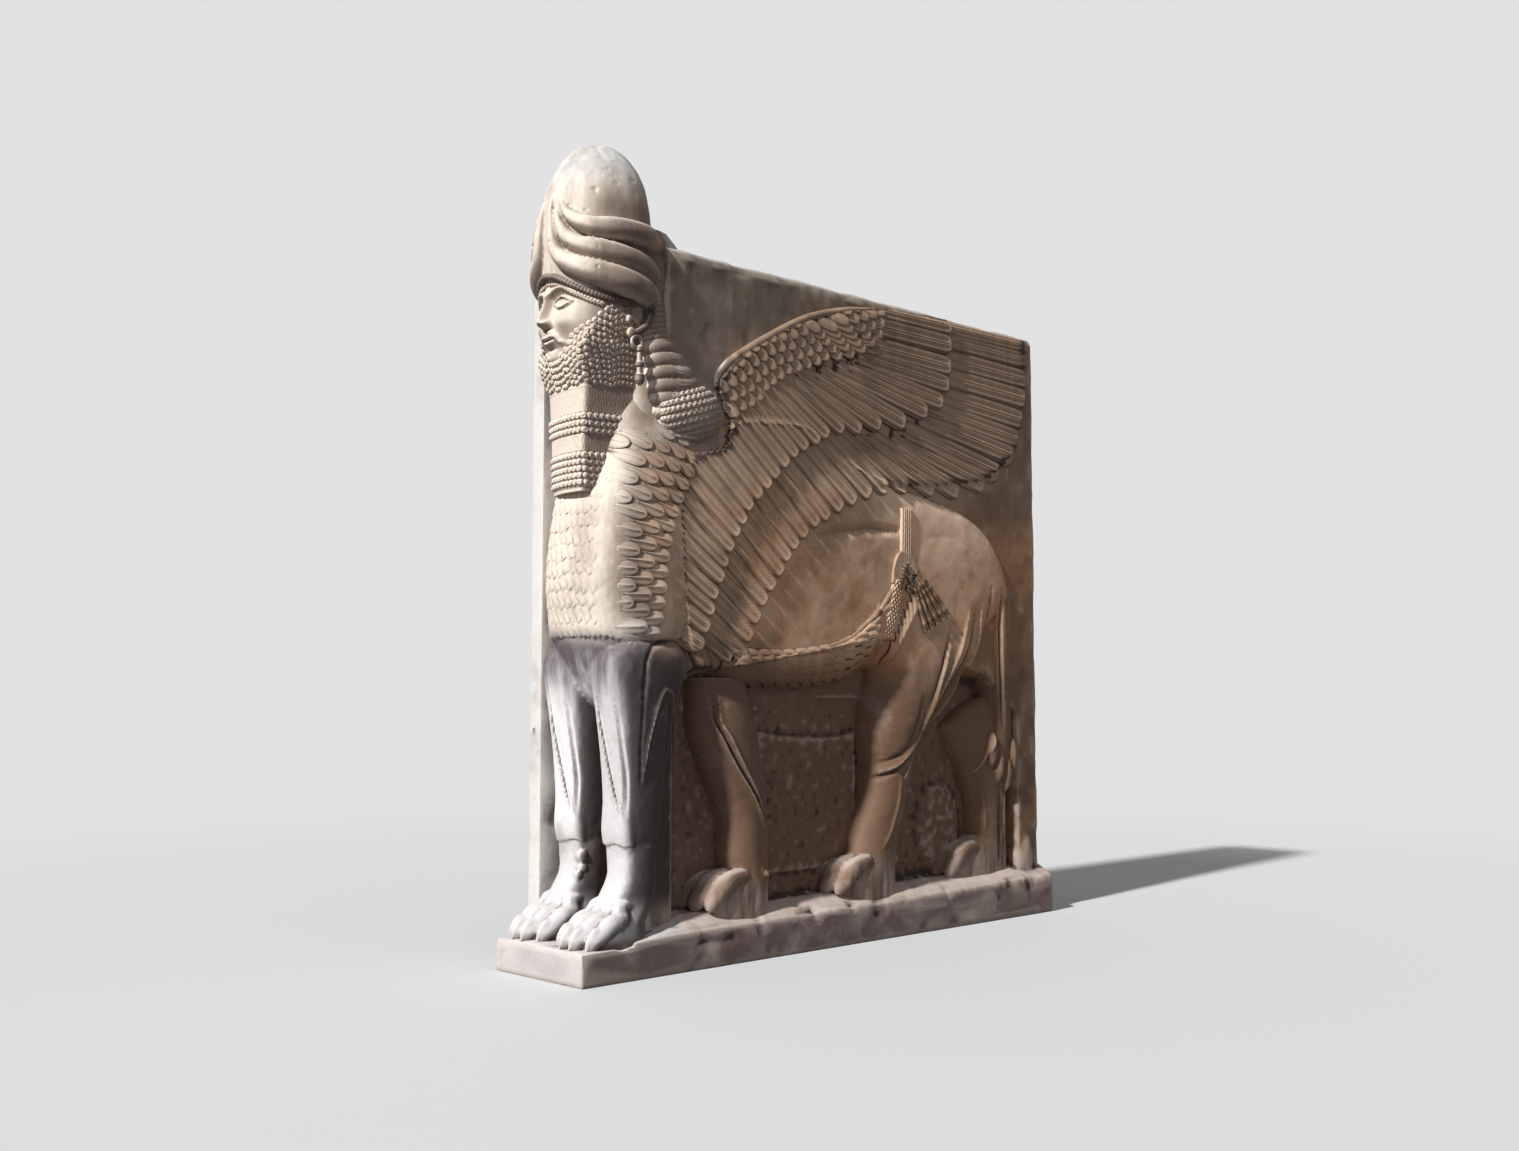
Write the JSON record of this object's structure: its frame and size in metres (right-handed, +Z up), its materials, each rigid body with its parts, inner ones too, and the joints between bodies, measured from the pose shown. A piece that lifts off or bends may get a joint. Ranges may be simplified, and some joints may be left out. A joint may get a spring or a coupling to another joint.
{
  "type": "assyrian lamassu statue",
  "caption": "Winged human-headed lion gateway guardian, carved in high relief and in the round from one stone block with its slab and plinth.",
  "frame": {"origin": "middle of the underside of the block", "axes": "the lion's head and chest face -Y, its carved flank faces +X, the flat wall side faces -X, +Z is up"},
  "size_m": [0.622, 2.769, 3.112],
  "materials": {
    "stone": "weathered gypsum alabaster, matte, cream in front and brown on the flank"
  },
  "bodies": {
    "root": {"lamassu": "stone"}
  },
  "joints": []
}
